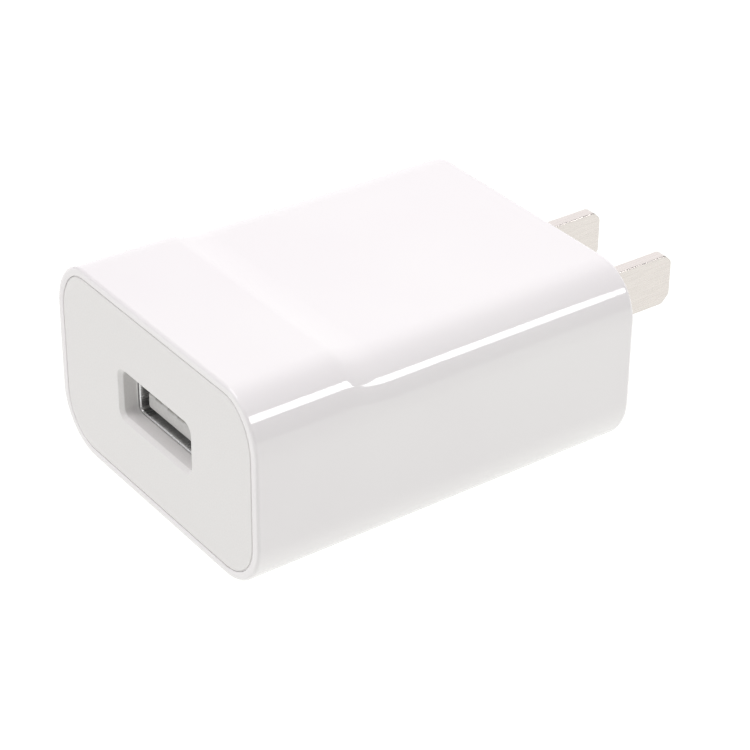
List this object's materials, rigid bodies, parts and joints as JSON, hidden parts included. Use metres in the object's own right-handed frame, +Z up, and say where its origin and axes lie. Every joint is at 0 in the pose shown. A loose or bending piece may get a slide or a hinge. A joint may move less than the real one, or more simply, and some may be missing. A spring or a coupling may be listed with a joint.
{
  "type": "usb wall charger",
  "caption": "Small white mains charger for phones: rounded oblong case with fixed flat blades on the back and a USB-A socket in a matte front panel.",
  "frame": {"origin": "centre of the flat outlet face, midway between the two blades", "axes": "+Y out of the outlet face along the blades, +Z up towards the case's broad top side, +X across the pair of blades; the USB face looks along -Y"},
  "size_m": [0.0392, 0.0651, 0.0231],
  "materials": {
    "shell": "glossy white ABS/PC, polished mould",
    "panel": "light grey-white, fine matte mould texture",
    "blades": "brass, bright nickel plate",
    "bronze": "phosphor bronze leaf",
    "holder": "white insulating block",
    "usb_steel": "bent tinned steel sheet",
    "usb_plastic": "white insulator",
    "usb_contacts": "gold-flashed springs",
    "board": "green paper laminate with solder mask",
    "ferrite": "sintered ferrite",
    "bobbin": "black phenolic",
    "winding_tape": "yellow polyester tape over copper",
    "copper": "enamelled copper wire",
    "capacitor_sleeve": "shrink sleeve over an aluminium can",
    "resistor_coat": "flameproof coating",
    "disc_coat": "blue epoxy coating",
    "epoxy": "moulded black epoxy",
    "fish_paper": "insulating paper"
  },
  "bodies": {
    "root": {"housing_shell": "shell", "face_panel": "panel", "blade_left": "blades", "blade_right": "blades", "blade_contact_left": "bronze", "blade_contact_right": "bronze", "blade_holder": "holder", "usb_shell": "usb_steel", "usb_insulator": "usb_plastic", "usb_contact_1": "usb_contacts", "usb_contact_2": "usb_contacts", "usb_contact_3": "usb_contacts", "usb_contact_4": "usb_contacts", "main_board": "board", "transformer_core_left": "ferrite", "transformer_core_right": "ferrite", "filter_choke": "ferrite", "transformer_bobbin": "bobbin", "transformer_winding": "winding_tape", "choke_winding": "copper", "input_capacitor_1": "capacitor_sleeve", "input_capacitor_2": "capacitor_sleeve", "output_capacitor": "capacitor_sleeve", "fuse_resistor": "resistor_coat", "safety_capacitor": "disc_coat", "bridge_rectifier": "epoxy", "controller_chip": "epoxy", "output_diode": "epoxy", "insulation_sheet": "fish_paper"}
  },
  "joints": []
}
